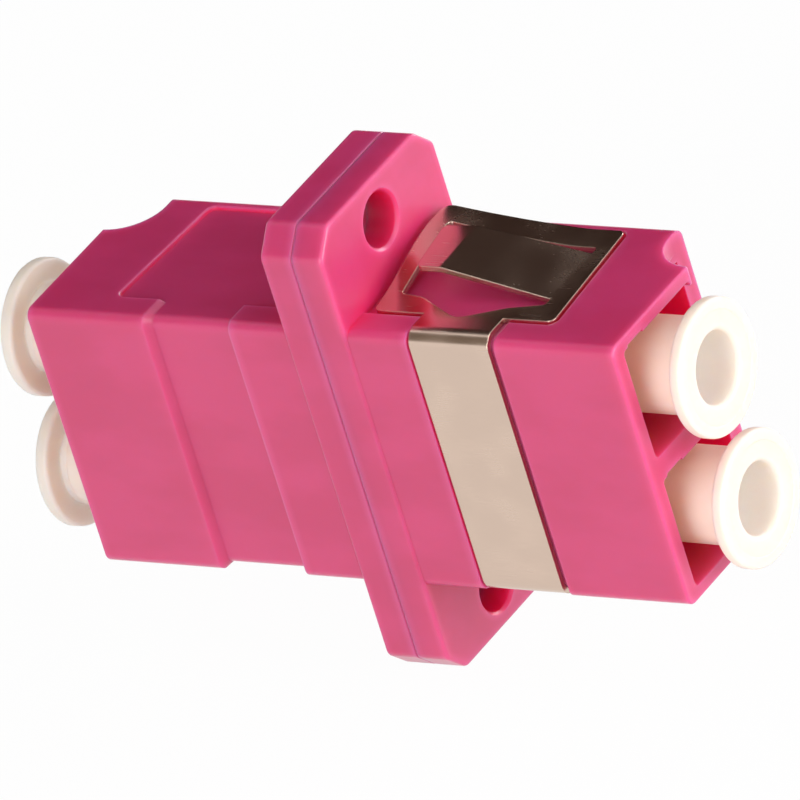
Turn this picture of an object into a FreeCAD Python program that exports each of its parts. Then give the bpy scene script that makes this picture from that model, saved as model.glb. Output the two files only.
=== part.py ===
"""Two-port fibre adapter for a panel: welded housing halves, split sleeves, spring clip and dust plugs."""
import FreeCAD, Part
import math
import os

V = FreeCAD.Vector

# Frame: X along the fibres, +X to the clip side, Z from port to port, +Y to the latch side.
# The origin is on the panel face of the flange, midway between its two screw holes.

# Ports
PORT_PITCH = 6.25
PORT_SIDE = 4.70
PORT_CORNER = 0.20
AXIS_Y = -0.57
LEAD_IN_LENGTH = 1.10
LEAD_IN_FLOOR = 0.77
LEAD_IN_SIDE = 0.26
NOTCH_HEIGHT = 0.85
NOTCH_DEPTH = 0.36
NOTCH_LENGTH = 2.20

# Latch channel over each port
LATCH_CHANNEL_WIDTH = 4.00
LATCH_CHANNEL_HEIGHT = 2.15
CATCH_MOUTH_GAP = 0.85
CATCH_LENGTH = 1.40
CATCH_RAMP = 1.10
CATCH_GAP = 2.20
CATCH_DROP = 1.05

# Walls of a housing half
SIDE_WALL = 0.825
FLOOR_WALL = 1.49
ROOF_WALL = 0.87
HALF_LENGTH = 14.66
MOUTH_RISE = 0.15
ROOF_SETBACK = 2.03
EDGE_RADIUS = 0.46
MOUTH_EDGE_RADIUS = 0.10

# Web and sleeve barrels
WEB_THICKNESS = 1.60
BARREL_DIAMETER = 2.50
BARREL_LENGTH = 4.10
BARREL_LIP_LENGTH = 0.65
BARREL_LIP_BORE = 1.42
BARREL_LIP_MOUTH = 1.80
BARREL_CHAMFER = 0.18

# Split sleeves
FERRULE_DIAMETER = 1.25
FERRULE_CLEARANCE = 0.01
SLEEVE_WALL = 0.17
SLEEVE_SLOT = 0.30
SLEEVE_FLOAT = 0.05
SLEEVE_CHAMFER = 0.04

# Flange
FLANGE_THICKNESS = 3.10
FLANGE_END_WALL = 0.70
FLANGE_PROUD = 0.09
FLANGE_CORNER = 1.10
FLANGE_CORNER_RADIUS = 0.50
FLANGE_EDGE = 0.16
HOLE_PITCH = 18.00
HOLE_DIAMETER = 2.40
HOLE_EDGE = 0.12
WELD_GROOVE = 0.05

# Recesses for the clip
GROOVE_DEPTH = 0.33
GROOVE_WIDTH = 4.07
GROOVE_SLOPE = 0.28
GROOVE_CORNER = 0.45
POCKET_DEPTH = 0.18
POCKET_MARGIN = 0.09
POCKET_LIP = 0.05

# Spring clip, one folded sheet
SHEET = 0.25
CLIP_SEAT = 0.02
STRAP_MARGIN = 0.08
STRAP_SHIFT = 0.04
PLATE_FLANGE_GAP = 0.43
PLATE_MOUTH_GAP = 3.79
PLATE_END_SLANT = 0.47
PLATE_NEAR_GAP = 1.65
PLATE_FAR_GAP = 0.72
PLATE_CORNER = 0.30
FLARE_END_GAP = 2.27
FLARE_LOW = 0.0
FLARE_MIDDLE = 0.72
FLARE_HIGH = 0.93
FLARE_EDGE = 0.80
FLARE_HALFWAY_SHARE = 0.40
LEAF_ROOT_GAP = 1.07
LEAF_NEAR_BAND = 1.61
LEAF_FAR_BAND = 1.77
LEAF_KNEE_REACH = 2.74
LEAF_RISE = 1.22
LEAF_TIP_NEAR_REACH = 1.57
LEAF_TIP_FAR_REACH = 1.10
LEAF_TAPER = 0.38
LEAF_BEND_RADIUS = 1.00
LEAF_TIP_CORNER = 0.25
SLOT_WIDTH = 0.45
CROSS_BAR = 0.75
WINDOW_CORNER = 0.20
DIP_DEPTH = 1.38
DIP_SHIFT = 0.30
DIP_CORNER = 0.90
DIP_MOUTH_RUN = 1.635
DIP_MOUTH_DROP = 0.42
DIP_FLANGE_RUN = 1.135
DIP_FLANGE_DROP = 0.12

# Dust plugs
HEAD_DIAMETER = 5.85
HEAD_THICKNESS = 0.62
HEAD_EDGE = 0.16
HEAD_STANDOFF = 2.07
UPPER_FRONT_SLACK = 0.60
UPPER_FRONT_SAG = 0.13
LOWER_FRONT_SLACK = 0.90
LOWER_FRONT_SAG = 0.31
LOWER_REAR_SLACK = 0.17
LOWER_REAR_SAG = 0.08
NECK_CLEARANCE = 0.60
NECK_WALL = 0.50
NECK_GROOVE_DEPTH = 0.10
NECK_GROOVE_LENGTH = 0.40
NECK_ROOT_RADIUS = 0.05
STEM_TIP_CLEARANCE = 0.75
STEM_TIP_CHAMFER = 0.30
STEM_WEB_GAP = 0.80
PLUG_BORE_CLEARANCE = 0.06
FACE_HOLE_DEPTH = 4.00
FACE_HOLE_LIP = 0.22
FACE_HOLE_FLOOR_RADIUS = 0.30
FACE_RING_DIAMETER = 4.85
FACE_RING_STEP = 0.05
FACE_RING_RADIUS = 0.02
MEMBRANE = 0.80

# Worked-out places, shared by every piece
FLANGE_HALF = FLANGE_THICKNESS / 2
SEAM_X = -FLANGE_HALF
FLANGE_END = HOLE_PITCH / 2 + HOLE_DIAMETER / 2 + FLANGE_END_WALL
PORT_Z = PORT_PITCH / 2
HALF_WIDTH = PORT_Z + PORT_SIDE / 2 + SIDE_WALL
PORT_TOP = AXIS_Y + PORT_SIDE / 2
NEAR_Y = AXIS_Y - PORT_SIDE / 2 - FLOOR_WALL
MOUTH_TOP = PORT_TOP + MOUTH_RISE
ROOF_END = HALF_LENGTH - ROOF_SETBACK
ROOF_INNER = PORT_TOP + LATCH_CHANNEL_HEIGHT
FAR_Y = ROOF_INNER + ROOF_WALL
SLEEVE_BORE = FERRULE_DIAMETER + 2 * FERRULE_CLEARANCE
SLEEVE_OUTER = SLEEVE_BORE + 2 * SLEEVE_WALL
BARREL_BORE = SLEEVE_OUTER + 2 * SLEEVE_FLOAT
SLEEVE_SEAT = BARREL_LENGTH - BARREL_LIP_LENGTH
SLEEVE_LENGTH = 2 * (SLEEVE_SEAT - SLEEVE_FLOAT)
PLATE_Z = HALF_WIDTH - POCKET_DEPTH + CLIP_SEAT
STRAP_Y = NEAR_Y + GROOVE_DEPTH - CLIP_SEAT
PLATE_START = FLANGE_HALF + PLATE_FLANGE_GAP
PLATE_END = HALF_LENGTH - PLATE_MOUTH_GAP
STRAP_MIDDLE = (PLATE_START + PLATE_END) / 2 + STRAP_SHIFT
GROOVE_START = STRAP_MIDDLE - GROOVE_WIDTH / 2
GROOVE_END = GROOVE_START + GROOVE_WIDTH
PLATE_LOW = NEAR_Y + PLATE_NEAR_GAP
PLATE_HIGH = FAR_Y - PLATE_FAR_GAP
FLARE_START = PLATE_END - FLARE_END_GAP
LEAF_ROOT = PLATE_END - LEAF_ROOT_GAP
LEAF_LOW = PLATE_LOW + LEAF_NEAR_BAND
LEAF_HIGH = PLATE_HIGH - LEAF_FAR_BAND

PLUG_FACE = HALF_LENGTH + HEAD_STANDOFF
PLUG_TIP = WEB_THICKNESS / 2 + STEM_WEB_GAP
NECK_DIAMETER = PORT_SIDE - NECK_CLEARANCE
STEM_TIP_DIAMETER = PORT_SIDE - STEM_TIP_CLEARANCE
FACE_HOLE_DIAMETER = NECK_DIAMETER - 2 * NECK_WALL

# How far a cutting shape runs past what it cuts, and the tolerance for comparing places
CUT = 5.0
SAME = 1e-6


def box(u0, u1, y0, y1, z0, z1):
    return Part.makeBox(u1 - u0, y1 - y0, z1 - z0, V(u0, y0, z0))


def rounded_wire(points, radii):
    """Closed wire through the points, each corner an arc of its own radius."""
    edges = []
    count = len(points)
    ends = []
    for i in range(count):
        here, before, after = points[i], points[i - 1], points[(i + 1) % count]
        to_before = (before - here).normalize()
        to_after = (after - here).normalize()
        radius = radii[i]
        if radius <= 0:
            ends.append((here, None, here))
            continue
        half_angle = to_before.getAngle(to_after) / 2
        reach = radius / math.tan(half_angle)
        bisector = (to_before + to_after).normalize()
        middle = here + bisector * (radius / math.sin(half_angle) - radius)
        ends.append((here + to_before * reach, middle, here + to_after * reach))
    for i in range(count):
        start, middle, end = ends[i]
        if middle is not None:
            edges.append(Part.Arc(start, middle, end).toShape())
        following = ends[(i + 1) % count][0]
        if (following - end).Length > SAME:
            edges.append(Part.LineSegment(end, following).toShape())
    return Part.Wire(edges)


def plane_prism(points, radii, direction):
    return Part.Face(rounded_wire(points, radii)).extrude(direction)


def rectangle_yz(u, y0, y1, z0, z1, radius):
    corners = [V(u, y0, z0), V(u, y1, z0), V(u, y1, z1), V(u, y0, z1)]
    return rounded_wire(corners, [radius] * 4)


def cylinder_x(diameter, u0, u1, y, z):
    return Part.makeCylinder(diameter / 2, u1 - u0, V(u0, y, z), V(1, 0, 0))


def cone_x(diameter0, diameter1, u0, u1, y, z):
    return Part.makeCone(diameter0 / 2, diameter1 / 2, u1 - u0, V(u0, y, z), V(1, 0, 0))


def mirrored(shape, normal):
    return shape.mirror(V(0, 0, 0), normal)


def on_both_sides(shape):
    return [shape, mirrored(shape, V(0, 0, 1))]


def edges_where(shape, test):
    return [edge for edge in shape.Edges if test(edge)]


def spans(edge):
    bounds = edge.BoundBox
    return bounds.XLength, bounds.YLength, bounds.ZLength


def body_block():
    """Outside of one half: full height behind, hollowed down to the mouth by a quarter arc."""
    low = -HALF_WIDTH
    mouth_corner = V(HALF_LENGTH, MOUTH_TOP, low)
    sweep = ROOF_SETBACK * (1 - math.sqrt(0.5))
    arc_middle = V(ROOF_END + sweep, MOUTH_TOP + sweep, low)
    arc_top = V(ROOF_END, MOUTH_TOP + ROOF_SETBACK, low)
    walls = [V(0, NEAR_Y, low), V(HALF_LENGTH, NEAR_Y, low), mouth_corner]
    roof = [arc_top, V(ROOF_END, FAR_Y, low), V(0, FAR_Y, low), walls[0]]
    edges = [Part.LineSegment(a, b).toShape() for a, b in zip(walls, walls[1:])]
    edges.append(Part.Arc(mouth_corner, arc_middle, arc_top).toShape())
    edges += [Part.LineSegment(a, b).toShape() for a, b in zip(roof, roof[1:])]
    block = Part.Face(Part.Wire(edges)).extrude(V(0, 0, 2 * HALF_WIDTH))

    def long_edge(edge):
        along, up, across = spans(edge)
        return up < SAME and across < SAME and along > HALF_LENGTH / 2

    block = block.makeFillet(EDGE_RADIUS, edges_where(block, long_edge))

    def mouth_edge(edge):
        on_end = edge.BoundBox.XMin > HALF_LENGTH - SAME
        return on_end and edge.BoundBox.YMin < MOUTH_TOP - EDGE_RADIUS / 2

    return block.makeFillet(MOUTH_EDGE_RADIUS, edges_where(block, mouth_edge))


def flange_half():
    """Half of the flange with its corners cut at 45 degrees and its outer edge softened."""
    low, high, end, cut = NEAR_Y - FLANGE_PROUD, FAR_Y, FLANGE_END, FLANGE_CORNER
    corners = [V(0, low + cut, -end), V(0, low, cut - end), V(0, low, end - cut), V(0, low + cut, end),
               V(0, high - cut, end), V(0, high, end - cut), V(0, high, cut - end), V(0, high - cut, -end)]
    plate = plane_prism(corners, [FLANGE_CORNER_RADIUS] * len(corners), V(FLANGE_HALF, 0, 0))
    outer = edges_where(plate, lambda edge: edge.BoundBox.XMin > FLANGE_HALF - SAME)
    return plate.makeFillet(FLANGE_EDGE, outer)


def screw_hole(z):
    """Plain hole with its edge broken by a 45 degree chamfer at the flange's face."""
    hole = cylinder_x(HOLE_DIAMETER, -CUT, FLANGE_HALF + CUT, 0, z)
    rim = HOLE_DIAMETER + 4 * HOLE_EDGE
    return hole.fuse(cone_x(HOLE_DIAMETER, rim, FLANGE_HALF - HOLE_EDGE, FLANGE_HALF + HOLE_EDGE, 0, z))


def port_cavity(z):
    """One port: square hole with a lead-in, open above at the mouth, and its latch channel."""
    half = PORT_SIDE / 2
    low, high = AXIS_Y - half, PORT_TOP
    left, right = z - half, z + half
    inner = WEB_THICKNESS / 2
    square = Part.Face(rectangle_yz(inner, low, high, left, right, PORT_CORNER))
    cavity = square.extrude(V(HALF_LENGTH + CUT - inner, 0, 0))
    narrow = rectangle_yz(HALF_LENGTH - LEAD_IN_LENGTH, low, high, left, right, PORT_CORNER)
    side = LEAD_IN_SIDE
    wide = rectangle_yz(HALF_LENGTH, low - LEAD_IN_FLOOR, high, left - side, right + side, PORT_CORNER)
    lead_in = Part.makeLoft([narrow, wide], True)
    sky = box(ROOF_END, HALF_LENGTH + CUT, AXIS_Y, FAR_Y + CUT, left, right)
    notch_low, notch_high = low - LEAD_IN_FLOOR / 2, low + NOTCH_HEIGHT
    notch = box(HALF_LENGTH - NOTCH_LENGTH, HALF_LENGTH + CUT, notch_low, notch_high, z, right + NOTCH_DEPTH)
    channel_half = LATCH_CHANNEL_WIDTH / 2
    channel = box(inner, ROOF_END + CUT, AXIS_Y, ROOF_INNER, z - channel_half, z + channel_half)
    return cavity.multiFuse([lead_in, sky, notch, channel])


def latch_catches(z):
    """Pair of ramped shoulders in the latch channel that hold a connector's latch."""
    catches = []
    top = ROOF_INNER
    bottom = top - CATCH_DROP
    ramp_end = ROOF_END - CATCH_MOUTH_GAP
    end = ramp_end - CATCH_RAMP
    start = end - CATCH_LENGTH
    outline = [V(start, top, 0), V(start, bottom, 0), V(end, bottom, 0), V(ramp_end, top, 0)]
    for side in (-1, 1):
        inner = z + side * CATCH_GAP / 2
        outer = z + side * LATCH_CHANNEL_WIDTH / 2
        face = Part.Face(Part.makePolygon(outline + [outline[0]]))
        face.translate(V(0, 0, min(inner, outer)))
        catches.append(face.extrude(V(0, 0, abs(outer - inner))))
    return catches


def barrel(z):
    body = cylinder_x(BARREL_DIAMETER, 0, BARREL_LENGTH, AXIS_Y, z)
    tip = edges_where(body, lambda edge: edge.BoundBox.XMin > BARREL_LENGTH - SAME)
    return body.makeChamfer(BARREL_CHAMFER, tip)


def barrel_bore(z):
    """Room for half a sleeve, then a tapered lip that keeps it in and leads the ferrule."""
    seat = cylinder_x(BARREL_BORE, -CUT, SLEEVE_SEAT, AXIS_Y, z)
    past_mouth = 2 * BARREL_LIP_MOUTH - BARREL_LIP_BORE
    taper = cone_x(BARREL_LIP_BORE, past_mouth, SLEEVE_SEAT, BARREL_LENGTH + BARREL_LIP_LENGTH, AXIS_Y, z)
    return seat.fuse(taper)


def strap_groove():
    """Shallow belt round the near face, with a sloped end wall, that the clip's strap lies in."""
    low = NEAR_Y + GROOVE_DEPTH
    side = HALF_WIDTH - POCKET_DEPTH
    over = FAR_Y + CUT
    slope_end = GROOVE_END + GROOVE_SLOPE
    floor = rectangle_yz(GROOVE_START, low, over, -side, side, GROOVE_CORNER)
    core = Part.Face(floor).extrude(V(GROOVE_WIDTH, 0, 0))
    inner = rectangle_yz(GROOVE_END, low, over, -side, side, GROOVE_CORNER)
    outer = rectangle_yz(slope_end, NEAR_Y, over, -HALF_WIDTH, HALF_WIDTH, EDGE_RADIUS)
    slope = Part.makeLoft([inner, outer], True)
    reach = HALF_WIDTH + CUT
    return box(GROOVE_START, slope_end, NEAR_Y - CUT, PLATE_LOW, -reach, reach).cut(core).cut(slope)


def pocket_wire(margin, z):
    """Outline of the clip's side plate at a height, grown by a margin on its three free sides."""
    low, high = PLATE_LOW - margin, PLATE_HIGH + margin
    corners = [V(FLANGE_HALF, low, z), V(PLATE_END + margin, low, z),
               V(PLATE_END - PLATE_END_SLANT + margin, high, z), V(FLANGE_HALF, high, z)]
    corner = PLATE_CORNER + margin
    return rounded_wire(corners, [0, corner, corner, 0])


def side_pocket():
    """Recess for a side plate of the clip, its lips sloped outwards."""
    recess = Part.Face(pocket_wire(POCKET_MARGIN, HALF_WIDTH - POCKET_DEPTH)).extrude(V(0, 0, CUT))
    inner = pocket_wire(POCKET_MARGIN, HALF_WIDTH - POCKET_LIP)
    outer = pocket_wire(POCKET_MARGIN + 2 * POCKET_LIP, HALF_WIDTH + POCKET_LIP)
    return recess.fuse(Part.makeLoft([inner, outer], True))


def housing_half():
    """One moulded half, its seam at u = 0 and its mouth at u = HALF_LENGTH."""
    solid = body_block().fuse(flange_half()).removeSplitter()
    solid = solid.makeChamfer(WELD_GROOVE, edges_where(solid, lambda edge: edge.BoundBox.XMax < SAME))
    ports = [-PORT_Z, PORT_Z]
    cuts = [port_cavity(z) for z in ports]
    cuts += [strap_groove()] + on_both_sides(side_pocket()) + on_both_sides(screw_hole(HOLE_PITCH / 2))
    for cut in cuts:
        solid = solid.cut(cut)
    solid = solid.multiFuse([piece for z in ports for piece in latch_catches(z) + [barrel(z)]])
    for z in ports:
        solid = solid.cut(barrel_bore(z))
    return solid.removeSplitter()


def split_sleeve(z):
    """Slotted tube that grips and lines up both ferrules."""
    half = SLEEVE_LENGTH / 2
    tube = cylinder_x(SLEEVE_OUTER, -half, half, AXIS_Y, z)
    ends = edges_where(tube, lambda edge: edge.BoundBox.XLength < SAME)
    tube = tube.makeChamfer(SLEEVE_CHAMFER, ends)
    tube = tube.cut(cylinder_x(SLEEVE_BORE, -half - CUT, half + CUT, AXIS_Y, z))
    slot_half = SLEEVE_SLOT / 2
    return tube.cut(box(-half - CUT, half + CUT, AXIS_Y, AXIS_Y + SLEEVE_OUTER, z - slot_half, z + slot_half))


def clip_strap():
    """Strap across the near face with its two rounded folds and the flat roots of the side plates."""
    u = GROOVE_START + STRAP_MARGIN
    width = GROOVE_WIDTH - 2 * STRAP_MARGIN

    def across(near_y, far_y, half, radius):
        corners = [V(u, near_y, -half), V(u, near_y, half), V(u, far_y, half), V(u, far_y, -half)]
        return plane_prism(corners, [radius, radius, 0, 0], V(width, 0, 0))

    shell = across(STRAP_Y - SHEET, PLATE_LOW, PLATE_Z + SHEET, GROOVE_CORNER + SHEET)
    return shell.cut(across(STRAP_Y, FAR_Y, PLATE_Z, GROOVE_CORNER))


def flare_section(u, share):
    """Section of the side sheet at u, bowed outwards by a share of the flare."""
    heights = [(PLATE_LOW, FLARE_LOW), ((PLATE_LOW + PLATE_HIGH) / 2, FLARE_MIDDLE),
               (PLATE_HIGH - SLOT_WIDTH, FLARE_HIGH), (PLATE_HIGH, FLARE_EDGE)]
    curves = []
    for level in (PLATE_Z, PLATE_Z + SHEET):
        curve = Part.BSplineCurve()
        curve.interpolate([V(u, y, level + share * rise) for y, rise in heights])
        curves.append(curve.toShape())
    lower, upper = curves
    closing = [Part.LineSegment(lower.Vertexes[i].Point, upper.Vertexes[i].Point).toShape() for i in (0, 1)]
    return Part.Wire([lower, closing[1], upper, closing[0]])


def side_sheet():
    """Blank of one side plate: flat at the mouth end, bowed outwards towards the flange."""
    flat = box(FLARE_START, PLATE_END, PLATE_LOW, PLATE_HIGH, PLATE_Z, PLATE_Z + SHEET)
    halfway = (FLARE_START + PLATE_START) / 2
    stations = [(FLARE_START, 0.0), (halfway, FLARE_HALFWAY_SHARE), (PLATE_START, 1.0)]
    bowed = Part.makeLoft([flare_section(u, share) for u, share in stations], True)
    return flat.fuse(bowed)


def window():
    """Opening in the side plate that frees the leaf, dipping towards the strap."""
    low = LEAF_LOW - SLOT_WIDTH
    high = LEAF_HIGH + SLOT_WIDTH
    flange_side = PLATE_START + CROSS_BAR
    dip = STRAP_MIDDLE - DIP_SHIFT
    flange_shoulder = flange_side + DIP_FLANGE_RUN
    mouth_shoulder = LEAF_ROOT - DIP_MOUTH_RUN
    bend = min(DIP_CORNER, (dip - flange_shoulder) / 2, (mouth_shoulder - dip) / 2)
    points = [V(LEAF_ROOT, low, 0), V(LEAF_ROOT, high, 0), V(flange_side, high, 0), V(flange_side, low, 0),
              V(flange_shoulder, low - DIP_FLANGE_DROP, 0), V(dip, low - DIP_DEPTH, 0),
              V(mouth_shoulder, low - DIP_MOUTH_DROP, 0)]
    radii = [WINDOW_CORNER] * 4 + [bend] * 3
    return plane_prism(points, radii, V(0, 0, 4 * HALF_WIDTH))


def clip_leaf():
    """Leaf spring: rises from its root, narrowing, then runs level to a slanted free end."""
    root = LEAF_ROOT + SHEET
    knee = PLATE_START + LEAF_KNEE_REACH
    path = [V(root, 0, 0), V(LEAF_ROOT, 0, 0), V(knee, 0, LEAF_RISE), V(PLATE_START, 0, LEAF_RISE)]
    top = [point + V(0, 0, SHEET) for point in path]
    tight, wide = LEAF_BEND_RADIUS, LEAF_BEND_RADIUS + SHEET
    radii = [0, tight, tight, 0, 0, tight, wide, 0]
    leaf = plane_prism(path + top[::-1], radii, V(0, LEAF_HIGH - LEAF_LOW, 0))
    leaf.translate(V(0, LEAF_LOW, PLATE_Z))
    outline = [V(PLATE_START + LEAF_TIP_NEAR_REACH, LEAF_LOW, 0), V(root, LEAF_LOW, 0),
               V(root, LEAF_HIGH, 0), V(PLATE_START + LEAF_TIP_FAR_REACH, LEAF_HIGH - LEAF_TAPER, 0)]
    corner = LEAF_TIP_CORNER
    return leaf.common(plane_prism(outline, [corner, 0, 0, corner], V(0, 0, 4 * HALF_WIDTH)))


def side_plate():
    """One side plate without its window, at the upper side."""
    outline = [V(PLATE_START, PLATE_LOW, 0), V(PLATE_END, PLATE_LOW, 0),
               V(PLATE_END - PLATE_END_SLANT, PLATE_HIGH, 0), V(PLATE_START, PLATE_HIGH, 0)]
    return side_sheet().common(plane_prism(outline, [PLATE_CORNER] * 4, V(0, 0, 4 * HALF_WIDTH)))


def spring_clip():
    """Strap folded up at both sides into plates, each with a window and the leaf inside it."""
    clip = clip_strap().multiFuse(on_both_sides(side_plate()))
    for opening in on_both_sides(window()):
        clip = clip.cut(opening)
    return clip.multiFuse(on_both_sides(clip_leaf())).removeSplitter()


def dust_plug():
    """Turned form: head with a moulding hole, neck groove, tapered stem bored to slide over the barrel."""
    back = PLUG_FACE - HEAD_THICKNESS
    groove_start = back - NECK_GROOVE_LENGTH
    rim = HEAD_DIAMETER / 2
    ring = FACE_RING_DIAMETER / 2
    hole = FACE_HOLE_DIAMETER / 2
    neck = NECK_DIAMETER / 2
    groove = neck - NECK_GROOVE_DEPTH
    bore = BARREL_DIAMETER / 2 + PLUG_BORE_CLEARANCE
    dish = PLUG_FACE - FACE_RING_STEP
    hole_floor = PLUG_FACE - FACE_HOLE_DEPTH
    bore_floor = hole_floor - MEMBRANE
    corners = [
        (PLUG_TIP, bore, 0), (PLUG_TIP, STEM_TIP_DIAMETER / 2, STEM_TIP_CHAMFER),
        (groove_start, neck, 0), (groove_start, groove, 0), (back, groove, NECK_ROOT_RADIUS),
        (back, rim, HEAD_EDGE), (PLUG_FACE, rim, HEAD_EDGE),
        (PLUG_FACE, ring, FACE_RING_RADIUS), (dish, ring, FACE_RING_RADIUS),
        (dish, hole, FACE_HOLE_LIP), (hole_floor, hole, FACE_HOLE_FLOOR_RADIUS),
        (hole_floor, 0, 0), (bore_floor, 0, 0), (bore_floor, bore, 0),
    ]
    wire = rounded_wire([V(u, radius, 0) for u, radius, _ in corners], [corner for _, _, corner in corners])
    return Part.Face(wire).revolve(V(0, 0, 0), V(1, 0, 0), 360)


def plug_in_port(z, slack=0.0, sag=0.0):
    """Dust plug left out of its seat by some slack, its head sagging as it rests on the barrel."""
    plug = dust_plug()
    plug.translate(V(slack, AXIS_Y, z))
    rest = (PLUG_TIP + slack + BARREL_LENGTH) / 2
    tilt = math.atan(math.hypot(sag, sag) / (PLUG_FACE + slack - rest))
    plug.rotate(V(rest, AXIS_Y, z), V(0, 1, -1), math.degrees(tilt))
    return plug


def placed(shape, faces_front=False):
    """Moves a piece from the seam's frame to the part's frame, turned about the seam for the front half."""
    if faces_front:
        shape = mirrored(shape, V(1, 0, 0))
    result = shape.copy()
    result.translate(V(SEAM_X, 0, 0))
    return result


def main():
    os.makedirs("parts", exist_ok=True)
    half = housing_half()
    nodes = {
        "rear_housing": placed(half),
        "front_housing": placed(half, True),
        "upper_split_sleeve": placed(split_sleeve(PORT_Z)),
        "lower_split_sleeve": placed(split_sleeve(-PORT_Z)),
        "spring_clip": placed(spring_clip()),
        "rear_upper_dust_plug": placed(plug_in_port(PORT_Z)),
        "rear_lower_dust_plug": placed(plug_in_port(-PORT_Z, LOWER_REAR_SLACK, LOWER_REAR_SAG)),
        "front_upper_dust_plug": placed(plug_in_port(PORT_Z, UPPER_FRONT_SLACK, UPPER_FRONT_SAG), True),
        "front_lower_dust_plug": placed(plug_in_port(-PORT_Z, LOWER_FRONT_SLACK, LOWER_FRONT_SAG), True),
    }
    for name, shape in nodes.items():
        if not shape.isValid() or len(shape.Solids) != 1:
            raise RuntimeError(f"{name} is not one valid solid")
        shape.exportStep(f"parts/{name}.step")
        print(name, round(shape.Volume, 3), "mm3")


main()
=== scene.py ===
"""Dresses the two-port fibre adapter: moulded housings, folded spring clip, split sleeves and dust plugs."""

import math

import bmesh
import bpy
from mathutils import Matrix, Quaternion, Vector


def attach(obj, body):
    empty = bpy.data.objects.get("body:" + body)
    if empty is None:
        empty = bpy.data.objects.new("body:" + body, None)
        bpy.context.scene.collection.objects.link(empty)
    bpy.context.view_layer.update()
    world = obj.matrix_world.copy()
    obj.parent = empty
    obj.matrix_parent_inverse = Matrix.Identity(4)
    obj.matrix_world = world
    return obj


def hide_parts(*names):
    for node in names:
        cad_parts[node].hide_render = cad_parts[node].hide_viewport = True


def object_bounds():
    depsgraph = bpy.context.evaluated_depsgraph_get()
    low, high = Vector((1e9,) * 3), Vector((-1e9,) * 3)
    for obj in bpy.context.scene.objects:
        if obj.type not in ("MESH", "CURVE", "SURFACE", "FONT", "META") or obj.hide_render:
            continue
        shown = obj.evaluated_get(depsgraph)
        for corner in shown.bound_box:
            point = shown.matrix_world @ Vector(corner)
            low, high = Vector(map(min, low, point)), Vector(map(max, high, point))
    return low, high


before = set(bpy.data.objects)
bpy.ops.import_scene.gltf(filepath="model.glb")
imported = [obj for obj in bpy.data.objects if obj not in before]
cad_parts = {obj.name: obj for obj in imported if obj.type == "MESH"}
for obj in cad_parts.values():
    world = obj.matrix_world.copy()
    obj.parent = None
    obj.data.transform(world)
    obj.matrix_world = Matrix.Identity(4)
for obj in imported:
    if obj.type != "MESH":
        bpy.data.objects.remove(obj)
CAD_BOX = [list(corner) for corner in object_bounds()]

bl_info = {
    "name": "Two-port fibre adapter",
    "version": (1, 0, 0),
    "blender": (4, 5, 0),
    "location": "3D View > Sidebar > Adapter",
    "description": "Finishes for a two-port fibre adapter with its spring clip and dust plugs",
    "category": "Object",
}

MM = 0.001
X, Y, Z = 0, 1, 2

# Where the ports and the dust plugs lie, with the plug's neck counted from the seam
SEAM = -1.55 * MM
AXIS_Y = -0.57 * MM
PORT_Z = 3.125 * MM
NECK_FOOT = 14.6 * MM
NECK_HEAD = 17.4 * MM
HOLE_RADIUS = 1.6 * MM
NECK_RADIUS = 1.8 * MM

# How the CAD solids are welded and shaded
WELD = 0.001 * MM
FLAT = math.radians(0.6)
SHARP = math.radians(28.0)
EDGE_SAMPLES = 4

# Strengths of the patterns, the painted edge highlights and the painted hollow light inside the finishes
NOISE_MEAN = 0.5
PAINTED_EDGE_SHARE = 0.80
PAINTED_HOLLOW_SHARE = 0.90
COAT_SHARE = 0.85
DULL_STEEL = 0.93
DULL_BRONZE = 0.85
PALE_MILK = 1.03

# Colour sockets of a Mix node
FIRST_COLOUR = 6
SECOND_COLOUR = 7
MIXED_COLOUR = 2

# Studio
LAMP_DISTANCE = 0.42
CARD_DISTANCE = 0.35
FLOOR_HALF = 3.0
FLOOR_GAP = 0.02 * MM
ROOM_TINT = (1.0, 0.98, 0.96, 1.0)
WHITE = (1.0, 1.0, 1.0, 1.0)
ROOM_WHITE = 1.0
FLOOR_WHITE = 0.97
SENSOR_WIDTH = 36.0
CAMERA_NEAR = 0.05
CAMERA_FAR = 20.0

# The CAD solids that each finish covers, and the body that each plug rides
HOUSINGS = ("rear_housing", "front_housing")
CLIP = "spring_clip"
SLEEVES = ("upper_split_sleeve", "lower_split_sleeve")
PLUGS = {
    "rear_upper_dust_plug": "rear_upper_plug",
    "rear_lower_dust_plug": "rear_lower_plug",
    "front_upper_dust_plug": "front_upper_plug",
    "front_lower_dust_plug": "front_lower_plug",
}


class HousingLook(bpy.types.PropertyGroup):
    """Moulded plastic of the two housing halves."""

    colour: bpy.props.FloatVectorProperty(
        name="Plastic", description="Main colour of the housing plastic",
        subtype="COLOR", size=3, default=(0.605, 0.040, 0.166))
    deep_colour: bpy.props.FloatVectorProperty(
        name="Deep plastic", description="Darker colour of the flow clouds in the plastic",
        subtype="COLOR", size=3, default=(0.560, 0.032, 0.142))
    # Painted highlight: paler colour on thin edges, standing in for light that passes through them.
    painted_edge_highlight: bpy.props.FloatVectorProperty(
        name="Thin edges", description="Paler colour where light comes through an edge",
        subtype="COLOR", size=3, default=(0.76, 0.105, 0.300))
    # Painted light and shade: deep crimson in the ports and holes, standing in for their shade and the light
    # through their walls.
    painted_hollow_light: bpy.props.FloatVectorProperty(
        name="Hollows", description="Deeper colour inside the ports and the holes",
        subtype="COLOR", size=3, default=(0.95, 0.004, 0.090))
    roughness: bpy.props.FloatProperty(
        name="Roughness", description="Roughness of the moulded skin",
        default=0.36, min=0.0, max=1.0, subtype="FACTOR")
    rounding: bpy.props.FloatProperty(
        name="Edge softness", description="Radius over which the moulded edges catch the light",
        default=0.14 * MM, min=0.0, unit="LENGTH", precision=6)


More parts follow.
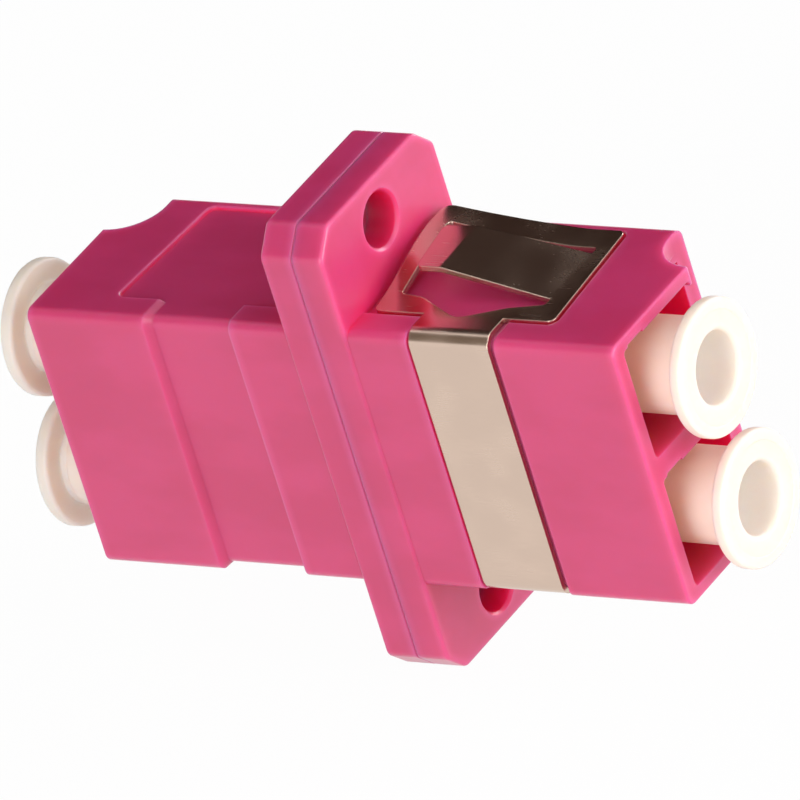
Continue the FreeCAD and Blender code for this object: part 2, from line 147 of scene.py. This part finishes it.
class ClipLook(bpy.types.PropertyGroup):
    """Rolled spring steel of the clip."""

    colour: bpy.props.FloatVectorProperty(
        name="Steel", description="Colour of the rolled steel",
        subtype="COLOR", size=3, default=(0.70, 0.54, 0.44))
    roughness: bpy.props.FloatProperty(
        name="Roughness", description="Roughness of the smoothest steel",
        default=0.16, min=0.0, max=1.0, subtype="FACTOR")
    rounding: bpy.props.FloatProperty(
        name="Edge softness", description="Radius over which the sheet's sheared edges catch the light",
        default=0.07 * MM, min=0.0, unit="LENGTH", precision=6)


class PlugLook(bpy.types.PropertyGroup):
    """Soft pale plastic of the dust plugs."""

    colour: bpy.props.FloatVectorProperty(
        name="Plug plastic", description="Colour of the dust plugs",
        subtype="COLOR", size=3, default=(0.93, 0.75, 0.655))
    # Painted reflected light: pink bounce from the housing on the plug necks beside the ports.
    painted_pink_bounce: bpy.props.FloatVectorProperty(
        name="Blush", description="Colour that the milky plastic takes up beside the housing",
        subtype="COLOR", size=3, default=(0.97, 0.69, 0.61))
    # Painted light: brighter colour in the plugs' hollows, standing in for light the translucent plastic
    # passes on.
    glow: bpy.props.FloatVectorProperty(
        name="Glow", description="Brighter colour in the hollows, where the plastic passes the light on",
        subtype="COLOR", size=3, default=(1.00, 0.935, 0.865))
    roughness: bpy.props.FloatProperty(
        name="Roughness", description="Roughness of the satin skin",
        default=0.36, min=0.0, max=1.0, subtype="FACTOR")
    rounding: bpy.props.FloatProperty(
        name="Edge softness", description="Radius over which the plugs' edges catch the light",
        default=0.08 * MM, min=0.0, unit="LENGTH", precision=6)


class SleeveLook(bpy.types.PropertyGroup):
    """Phosphor bronze of the split sleeves."""

    colour: bpy.props.FloatVectorProperty(
        name="Bronze", description="Colour of the sleeves",
        subtype="COLOR", size=3, default=(0.62, 0.36, 0.16))
    roughness: bpy.props.FloatProperty(
        name="Roughness", description="Roughness between the drawing lines",
        default=0.22, min=0.0, max=1.0, subtype="FACTOR")
    rounding: bpy.props.FloatProperty(
        name="Edge softness", description="Radius over which the sleeves' edges catch the light",
        default=0.02 * MM, min=0.0, unit="LENGTH", precision=6)


class StageLook(bpy.types.PropertyGroup):
    """Camera, lamps and floor."""

    aim: bpy.props.FloatVectorProperty(
        name="Aim", description="Point that the camera looks at",
        subtype="TRANSLATION", size=3, default=(-1.35 * MM, -0.74 * MM, 0.53 * MM), precision=5)
    distance: bpy.props.FloatProperty(
        name="Distance", description="Camera distance from the aim point",
        default=689.1 * MM, min=0.01, unit="LENGTH")
    azimuth: bpy.props.FloatProperty(
        name="Azimuth", description="Turn of the camera round the object",
        default=math.radians(39.751), subtype="ANGLE")
    elevation: bpy.props.FloatProperty(
        name="Elevation", description="Height of the camera above the horizon",
        default=math.radians(28.482), subtype="ANGLE")
    roll: bpy.props.FloatProperty(
        name="Roll", description="Lean of the picture",
        default=math.radians(-17.65), subtype="ANGLE")
    focal_length: bpy.props.FloatProperty(
        name="Focal length", description="Focal length on a 36 mm wide sensor",
        default=749.17, min=1.0, subtype="DISTANCE_CAMERA")
    key_power: bpy.props.FloatProperty(
        name="Key lamp", description="Power of the lamp on the near side",
        default=1.10, min=0.0, unit="POWER")
    side_power: bpy.props.FloatProperty(
        name="Side lamp", description="Power of the lamp on the clip side",
        default=1.52, min=0.0, unit="POWER")
    back_power: bpy.props.FloatProperty(
        name="Back lamp", description="Power of the lamp on the latch side",
        default=0.55, min=0.0, unit="POWER")
    world_level: bpy.props.FloatProperty(
        name="Room light", description="Strength of the even light from the room",
        default=0.45, min=0.0)
    floor_colour: bpy.props.FloatVectorProperty(
        name="Floor", description="Colour of the floor",
        subtype="COLOR", size=3, default=(0.90, 0.90, 0.90))


class Number:
    """A number inside a finish, so that plain sums add its Math nodes."""

    def __init__(self, finish, socket):
        self.finish = finish
        self.socket = socket

    def combine(self, operation, *terms):
        node = self.finish.node("ShaderNodeMath", {"operation": operation}, dict(enumerate(terms)))
        return Number(self.finish, node.outputs[0])

    def __add__(self, other):
        return self.combine("ADD", self, other)

    __radd__ = __add__

    def __sub__(self, other):
        return self.combine("SUBTRACT", self, other)

    def __rsub__(self, other):
        return self.combine("SUBTRACT", other, self)

    def __mul__(self, other):
        return self.combine("MULTIPLY", self, other)

    __rmul__ = __mul__

    def magnitude(self):
        return self.combine("ABSOLUTE", self)


class Finish:
    """A material in the making: its nodes, its shader and where its patterns start."""

    def __init__(self, name):
        self.material = bpy.data.materials.new(name)
        self.material.use_nodes = True
        self.tree = self.material.node_tree
        self.shader = self.tree.nodes["Principled BSDF"]
        self.place = self.node("ShaderNodeTexCoord").outputs["Object"]

    def node(self, kind, settings=None, sockets=None):
        """Adds a node, sets its settings, then fills its sockets with values or links."""
        node = self.tree.nodes.new(kind)
        for name, value in (settings or {}).items():
            setattr(node, name, value)
        for name, value in (sockets or {}).items():
            self.fill(node.inputs[name], value)
        return node

    def fill(self, socket, value):
        if isinstance(value, Number):
            value = value.socket
        if isinstance(value, bpy.types.NodeSocket):
            self.tree.links.new(value, socket)
        elif socket.type == "RGBA" and len(value) == 3:
            socket.default_value = (*value, 1.0)
        else:
            socket.default_value = value

    def shade(self, **sockets):
        """Fills shader sockets by name, with underscores for spaces."""
        for name, value in sockets.items():
            self.fill(self.shader.inputs[name.replace("_", " ")], value)

    def along(self, axis):
        """Distance from the origin along X, Y or Z."""
        split = self.node("ShaderNodeSeparateXYZ", None, {0: self.place})
        return Number(self, split.outputs[axis])

    def noise(self, size, detail, stretch=(1.0, 1.0, 1.0)):
        """Noise with features of about the given size in metres, longer where stretch is larger."""
        scale = [1.0 / (size * part) for part in stretch]
        mapping = self.node("ShaderNodeMapping", None, {"Vector": self.place, "Scale": scale})
        sockets = {"Vector": mapping.outputs[0], "Scale": 1.0, "Detail": detail}
        return Number(self, self.node("ShaderNodeTexNoise", None, sockets).outputs["Fac"])

    def ramp(self, value, low, high):
        """0 below low, 1 above high, smooth between."""
        sockets = {"Value": value, "From Min": low, "From Max": high}
        node = self.node("ShaderNodeMapRange", {"interpolation_type": "SMOOTHSTEP"}, sockets)
        return Number(self, node.outputs["Result"])

    def mix(self, share, first, second):
        """First colour where the share is 0, second colour where it is 1."""
        sockets = {"Factor": share, FIRST_COLOUR: first, SECOND_COLOUR: second}
        return self.node("ShaderNodeMix", {"data_type": "RGBA"}, sockets).outputs[MIXED_COLOUR]

    def soft_edges(self, radius):
        """Normal that turns smoothly over every edge, as if it were rounded to the radius."""
        return self.node("ShaderNodeBevel", {"samples": EDGE_SAMPLES}, {"Radius": radius}).outputs["Normal"]

    def closeness(self, distance, inside=False):
        """1 where other surface lies within the distance, outside as in a port or inside as at an edge."""
        settings = {"samples": EDGE_SAMPLES, "inside": inside, "only_local": True}
        node = self.node("ShaderNodeAmbientOcclusion", settings, {"Distance": distance})
        return 1.0 - Number(self, node.outputs["AO"])

    def bump(self, height, distance, strength, normal):
        sockets = {"Height": height, "Distance": distance, "Strength": strength, "Normal": normal}
        return self.node("ShaderNodeBump", None, sockets).outputs["Normal"]


def housing_plastic(look):
    """Moulded thermoplastic: faint flow clouds, painted highlights on thin edges, painted deep crimson light
    and shade in the ports, slight sink in the walls.
    """
    finish = Finish("housing_plastic")
    clouds = finish.noise(size=2.6 * MM, detail=3.0, stretch=(2.2, 1.0, 1.0))
    grain = finish.noise(size=0.07 * MM, detail=2.0)
    sink = finish.noise(size=3.0 * MM, detail=1.0)
    scuffs = finish.noise(size=0.5 * MM, detail=4.0, stretch=(3.0, 1.0, 1.0))
    # Painted highlight on thin convex edges, where light would pass through the plastic.
    painted_edge_mask = finish.ramp(finish.closeness(distance=0.45 * MM, inside=True), low=0.05, high=0.55)
    # Painted deep crimson in the ports and holes, for their shade and the light through the walls.
    painted_hollow_mask = finish.ramp(finish.closeness(distance=8.0 * MM), low=0.38, high=0.66)

    clouded = finish.mix(finish.ramp(clouds, low=0.35, high=0.65), look.deep_colour, look.colour)
    with_painted_edges = finish.mix(painted_edge_mask * PAINTED_EDGE_SHARE, clouded, look.painted_edge_highlight)
    base = finish.mix(painted_hollow_mask * PAINTED_HOLLOW_SHARE, with_painted_edges, look.painted_hollow_light)
    waves = finish.bump(sink, distance=0.02 * MM, strength=0.6, normal=finish.soft_edges(look.rounding))
    skin = finish.bump(grain, distance=0.004 * MM, strength=0.5, normal=waves)
    roughness = look.roughness + 0.10 * (scuffs - NOISE_MEAN) + 0.06 * (grain - NOISE_MEAN)
    finish.shade(Base_Color=base, Normal=skin, Roughness=roughness, IOR=1.49, Specular_IOR_Level=0.2)
    # The coat's shine is left out where the painted hollow light lies.
    finish.shade(Coat_Weight=COAT_SHARE * (1.0 - painted_hollow_mask), Coat_IOR=1.6, Coat_Roughness=look.roughness)
    finish.shade(Subsurface_Weight=0.75, Subsurface_Radius=(1.0, 0.30, 0.42), Subsurface_Scale=1.5 * MM)
    return finish.material


def rolled_steel(look):
    """Rolled spring steel: fine grain along X, duller patches and a few scratches."""
    finish = Finish("rolled_spring_steel")
    grain = finish.noise(size=0.03 * MM, detail=3.0, stretch=(40.0, 1.0, 1.0))
    blotches = finish.noise(size=2.2 * MM, detail=1.0, stretch=(1.0, 1.6, 1.0))
    streaks = finish.noise(size=0.05 * MM, detail=1.0, stretch=(60.0, 1.0, 1.0))
    ripples = finish.noise(size=1.8 * MM, detail=1.0)
    patches = finish.ramp(blotches, low=0.35, high=0.75)
    scratches = finish.ramp(streaks, low=0.70, high=0.74)

    dull = tuple(DULL_STEEL * part for part in look.colour)
    bright = finish.ramp(grain * 0.7 + patches * 0.3, low=0.30, high=0.85)
    dents = finish.bump(ripples, distance=0.03 * MM, strength=0.4, normal=finish.soft_edges(look.rounding))
    rolled = finish.bump(grain, distance=0.0006 * MM, strength=0.4, normal=dents)
    roughness = look.roughness + 0.06 * grain + 0.09 * patches + 0.05 * scratches
    finish.shade(Base_Color=finish.mix(bright, dull, look.colour), Normal=rolled)
    finish.shade(Roughness=roughness, Metallic=1.0)
    return finish.material


def plug_plastic(look):
    """Soft translucent plastic: milky, with a painted glow in its hollows and a painted pink bounce light on
    the neck beside the port.
    """
    finish = Finish("dust_plug_plastic")
    milk = finish.noise(size=1.4 * MM, detail=2.0)
    grain = finish.noise(size=0.05 * MM, detail=2.0)
    # Painted glow in the plug's hollows, for light that the milky plastic passes on.
    painted_hollow_mask = finish.ramp(finish.closeness(distance=3.2 * MM), low=0.25, high=0.75)
    # Painted pink bounce from the housing, on the outside of the neck near the port.
    across = finish.along(Y) - AXIS_Y
    level = finish.along(Z).magnitude() - PORT_Z
    outside = finish.ramp(across * across + level * level, low=HOLE_RADIUS ** 2, high=NECK_RADIUS ** 2)
    near_port = finish.ramp((finish.along(X) - SEAM).magnitude(), low=NECK_HEAD, high=NECK_FOOT)

    pale = tuple(min(1.0, PALE_MILK * part) for part in look.colour)
    milky = finish.mix(finish.ramp(milk, low=0.3, high=0.7), look.colour, pale)
    with_painted_glow = finish.mix(painted_hollow_mask, milky, look.glow)
    satin = finish.bump(grain, distance=0.002 * MM, strength=0.4, normal=finish.soft_edges(look.rounding))
    finish.shade(Base_Color=finish.mix(outside * near_port, with_painted_glow, look.painted_pink_bounce), Normal=satin)
    finish.shade(Roughness=look.roughness + 0.08 * grain, IOR=1.51)
    finish.shade(Subsurface_Weight=0.9, Subsurface_Radius=(1.0, 0.80, 0.62), Subsurface_Scale=1.5 * MM)
    return finish.material


def sleeve_bronze(look):
    """Drawn phosphor bronze with lines along the tube."""
    finish = Finish("sleeve_bronze")
    lines = finish.noise(size=0.02 * MM, detail=2.0, stretch=(60.0, 1.0, 1.0))
    dull = tuple(DULL_BRONZE * part for part in look.colour)
    drawn = finish.bump(lines, distance=0.001 * MM, strength=0.4, normal=finish.soft_edges(look.rounding))
    finish.shade(Base_Color=finish.mix(lines, dull, look.colour), Normal=drawn)
    finish.shade(Roughness=look.roughness + 0.15 * lines, Metallic=1.0)
    return finish.material


def shading_normals(form):
    """For each face corner, the mean normal of the faces there that lie at nearly the same angle."""
    normals = []
    for face in form.faces:
        for vertex in face.verts:
            alike = [near for near in vertex.link_faces if near.normal.angle(face.normal, 0.0) < SHARP]
            total = sum((near.normal * near.calc_area() for near in alike), Vector())
            normals.append(total.normalized())
    return normals


def smooth_copy(node, name, material, body):
    """Welded, smooth-shaded copy of a CAD solid, which stands for that solid."""
    form = bmesh.new()
    form.from_mesh(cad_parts[node].data)
    bmesh.ops.remove_doubles(form, verts=form.verts, dist=WELD)
    bmesh.ops.dissolve_limit(
        form, angle_limit=FLAT, use_dissolve_boundaries=False, verts=form.verts, edges=form.edges)
    form.normal_update()
    normals = shading_normals(form)
    mesh = bpy.data.meshes.new(name)
    form.to_mesh(mesh)
    form.free()
    mesh.materials.append(material)
    mesh.shade_smooth()
    mesh.normals_split_custom_set(normals)
    piece = bpy.data.objects.new(name, mesh)
    bpy.context.scene.collection.objects.link(piece)
    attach(piece, body)
    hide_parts(node)
    return piece


class OBJECT_OT_dress_housings(bpy.types.Operator):
    """Gives the two housing halves their moulded plastic and softened edges"""

    bl_idname = "fibre_adapter.dress_housings"
    bl_label = "Dress Housings"

    def execute(self, context):
        material = housing_plastic(context.scene.adapter_housing)
        for node in HOUSINGS:
            smooth_copy(node, node + "_moulding", material, "root")
        return {"FINISHED"}


class OBJECT_OT_dress_clip(bpy.types.Operator):
    """Gives the folded clip its rolled steel and soft sheet edges"""

    bl_idname = "fibre_adapter.dress_clip"
    bl_label = "Dress Spring Clip"

    def execute(self, context):
        smooth_copy(CLIP, "spring_clip_sheet", rolled_steel(context.scene.adapter_clip), "root")
        return {"FINISHED"}


class OBJECT_OT_dress_sleeves(bpy.types.Operator):
    """Gives the split sleeves their drawn bronze"""

    bl_idname = "fibre_adapter.dress_sleeves"
    bl_label = "Dress Split Sleeves"

    def execute(self, context):
        material = sleeve_bronze(context.scene.adapter_sleeve)
        for node in SLEEVES:
            smooth_copy(node, node + "_tube", material, "root")
        return {"FINISHED"}


class OBJECT_OT_dress_plugs(bpy.types.Operator):
    """Gives the four dust plugs their soft pale plastic"""

    bl_idname = "fibre_adapter.dress_plugs"
    bl_label = "Dress Dust Plugs"

    def execute(self, context):
        material = plug_plastic(context.scene.adapter_plug)
        for node, body in PLUGS.items():
            smooth_copy(node, node + "_moulding", material, body)
        return {"FINISHED"}


def seen_white(tree, dim_output, white_output, white_share):
    """Joins the dim light that surfaces get with the white that the camera, mirrors and glass see."""
    path = tree.nodes.new("ShaderNodeLightPath")
    rays = path.outputs["Is Camera Ray"]
    for name in ("Is Glossy Ray", "Is Transmission Ray"):
        either = tree.nodes.new("ShaderNodeMath")
        either.operation = "MAXIMUM"
        tree.links.new(rays, either.inputs[0])
        tree.links.new(path.outputs[name], either.inputs[1])
        rays = either.outputs[0]
    share = tree.nodes.new("ShaderNodeMath")
    share.operation = "MULTIPLY"
    share.inputs[1].default_value = white_share
    tree.links.new(rays, share.inputs[0])
    mix = tree.nodes.new("ShaderNodeMixShader")
    tree.links.new(share.outputs[0], mix.inputs[0])
    tree.links.new(dim_output, mix.inputs[1])
    tree.links.new(white_output, mix.inputs[2])
    return mix.outputs[0]


def room_light(level):
    """Even, slightly warm light all round, seen as white."""
    world = bpy.data.worlds.new("pale_room")
    world.use_nodes = True
    tree = world.node_tree
    dim = tree.nodes["Background"]
    dim.inputs["Color"].default_value = ROOM_TINT
    dim.inputs["Strength"].default_value = level
    white = tree.nodes.new("ShaderNodeBackground")
    white.inputs["Color"].default_value = WHITE
    room = seen_white(tree, dim.outputs[0], white.outputs[0], ROOM_WHITE)
    tree.links.new(room, tree.nodes["World Output"].inputs["Surface"])
    bpy.context.scene.world = world


def matt_material(name, colour):
    """Plain matt material without any shine."""
    material = bpy.data.materials.new(name)
    material.use_nodes = True
    matt = material.node_tree.nodes["Principled BSDF"]
    matt.inputs["Base Color"].default_value = (*colour, 1.0)
    matt.inputs["Roughness"].default_value = 1.0
    matt.inputs["Specular IOR Level"].default_value = 0.0
    return material


def floor_material(colour):
    """Matt floor that keeps the object's shadow and is seen as white."""
    material = matt_material("pale_floor", colour)
    tree = material.node_tree
    matt = tree.nodes["Principled BSDF"]
    glow = tree.nodes.new("ShaderNodeEmission")
    glow.inputs["Strength"].default_value = 1.0
    floor = seen_white(tree, matt.outputs[0], glow.outputs[0], FLOOR_WHITE)
    tree.links.new(floor, tree.nodes["Material Output"].inputs["Surface"])
    return material


def flat_piece(name, half, material):
    """Square sheet in the XY plane, centred on the origin."""
    form = bmesh.new()
    bmesh.ops.create_grid(form, x_segments=1, y_segments=1, size=half)
    mesh = bpy.data.meshes.new(name)
    form.to_mesh(mesh)
    form.free()
    mesh.materials.append(material)
    sheet = bpy.data.objects.new(name, mesh)
    bpy.context.scene.collection.objects.link(sheet)
    return sheet


def direction(azimuth, elevation):
    """Unit vector out from the object, azimuth 0 towards the near side and 90 towards the clip end."""
    turn, lift = math.radians(azimuth), math.radians(elevation)
    return Vector((math.sin(turn) * math.cos(lift), -math.cos(turn) * math.cos(lift), math.sin(lift)))


def turn_to(thing, back):
    """Turns a lamp or camera so that it looks against the direction it stands in."""
    thing.rotation_mode = "QUATERNION"
    thing.rotation_quaternion = (-back).to_track_quat("-Z", "Y")


def soft_lamp(name, power, azimuth, elevation, size):
    """Round lamp that looks at the object."""
    lamp = bpy.data.lights.new(name, "AREA")
    lamp.shape = "DISK"
    lamp.size = size
    lamp.energy = power
    holder = bpy.data.objects.new(name, lamp)
    back = direction(azimuth, elevation)
    holder.location = back * LAMP_DISTANCE
    turn_to(holder, back)
    bpy.context.scene.collection.objects.link(holder)


def dark_card(name, colour, azimuth, elevation, half):
    """Studio flag that only dims what is reflected and the light from its side."""
    card = flat_piece(name, half, matt_material(name, colour))
    back = direction(azimuth, elevation)
    card.location = back * CARD_DISTANCE
    card.rotation_mode = "QUATERNION"
    card.rotation_quaternion = back.to_track_quat("Z", "Y")
    card.visible_camera = False


def place_camera(look):
    """Camera at the photograph's viewing angle."""
    camera = bpy.data.cameras.new("photo_camera")
    camera.sensor_width = SENSOR_WIDTH
    camera.lens = look.focal_length
    camera.clip_start = CAMERA_NEAR
    camera.clip_end = CAMERA_FAR
    holder = bpy.data.objects.new("photo_camera", camera)
    back = direction(math.degrees(look.azimuth), math.degrees(look.elevation))
    holder.location = Vector(look.aim) + back * look.distance
    turn_to(holder, back)
    holder.rotation_quaternion @= Quaternion((0.0, 0.0, 1.0), look.roll)
    bpy.context.scene.collection.objects.link(holder)
    bpy.context.scene.camera = holder


class SCENE_OT_set_stage(bpy.types.Operator):
    """Sets the pale floor, the soft lamps and the camera"""

    bl_idname = "fibre_adapter.set_stage"
    bl_label = "Set Stage"

    def execute(self, context):
        look = context.scene.adapter_stage
        context.scene.view_settings.view_transform = "Standard"
        room_light(look.world_level)
        floor = flat_piece("pale_floor", FLOOR_HALF, floor_material(look.floor_colour))
        floor.location.z = CAD_BOX[0][Z] - FLOOR_GAP
        soft_lamp("key_lamp", look.key_power, azimuth=5.0, elevation=20.0, size=0.30)
        soft_lamp("side_lamp", look.side_power, azimuth=95.0, elevation=14.0, size=0.30)
        soft_lamp("back_lamp", look.back_power, azimuth=168.0, elevation=10.0, size=0.20)
        dark_card("dark_card", (0.035, 0.022, 0.018), azimuth=-140.25, elevation=32.0, half=0.22)
        dark_card("grey_card", (0.20, 0.17, 0.14), azimuth=-52.0, elevation=38.0, half=0.13)
        place_camera(look)
        return {"FINISHED"}


class VIEW3D_PT_fibre_adapter(bpy.types.Panel):
    """Sizes and colours of each finish, and the operators"""

    bl_label = "Fibre Adapter"
    bl_space_type = "VIEW_3D"
    bl_region_type = "UI"
    bl_category = "Adapter"

    def draw(self, context):
        for look_name, (group, label) in LOOKS.items():
            box = self.layout.box()
            box.label(text=label)
            for name in group.__annotations__:
                box.prop(getattr(context.scene, look_name), name)
        for operator in OPERATORS:
            self.layout.operator(operator.bl_idname)


LOOKS = {
    "adapter_housing": (HousingLook, "Housings"),
    "adapter_clip": (ClipLook, "Spring clip"),
    "adapter_sleeve": (SleeveLook, "Split sleeves"),
    "adapter_plug": (PlugLook, "Dust plugs"),
    "adapter_stage": (StageLook, "Stage"),
}
OPERATORS = (
    OBJECT_OT_dress_housings,
    OBJECT_OT_dress_clip,
    OBJECT_OT_dress_sleeves,
    OBJECT_OT_dress_plugs,
    SCENE_OT_set_stage,
)
CLASSES = (*(group for group, label in LOOKS.values()), *OPERATORS, VIEW3D_PT_fibre_adapter)


def register():
    for item in CLASSES:
        bpy.utils.register_class(item)
    for name, (group, label) in LOOKS.items():
        setattr(bpy.types.Scene, name, bpy.props.PointerProperty(type=group))


def unregister():
    for name in LOOKS:
        delattr(bpy.types.Scene, name)
    for item in reversed(CLASSES):
        bpy.utils.unregister_class(item)


def main():
    register()
    bpy.ops.fibre_adapter.dress_housings()
    bpy.ops.fibre_adapter.dress_clip()
    bpy.ops.fibre_adapter.dress_sleeves()
    bpy.ops.fibre_adapter.dress_plugs()
    bpy.ops.fibre_adapter.set_stage()


if __name__ == "__main__":
    main()
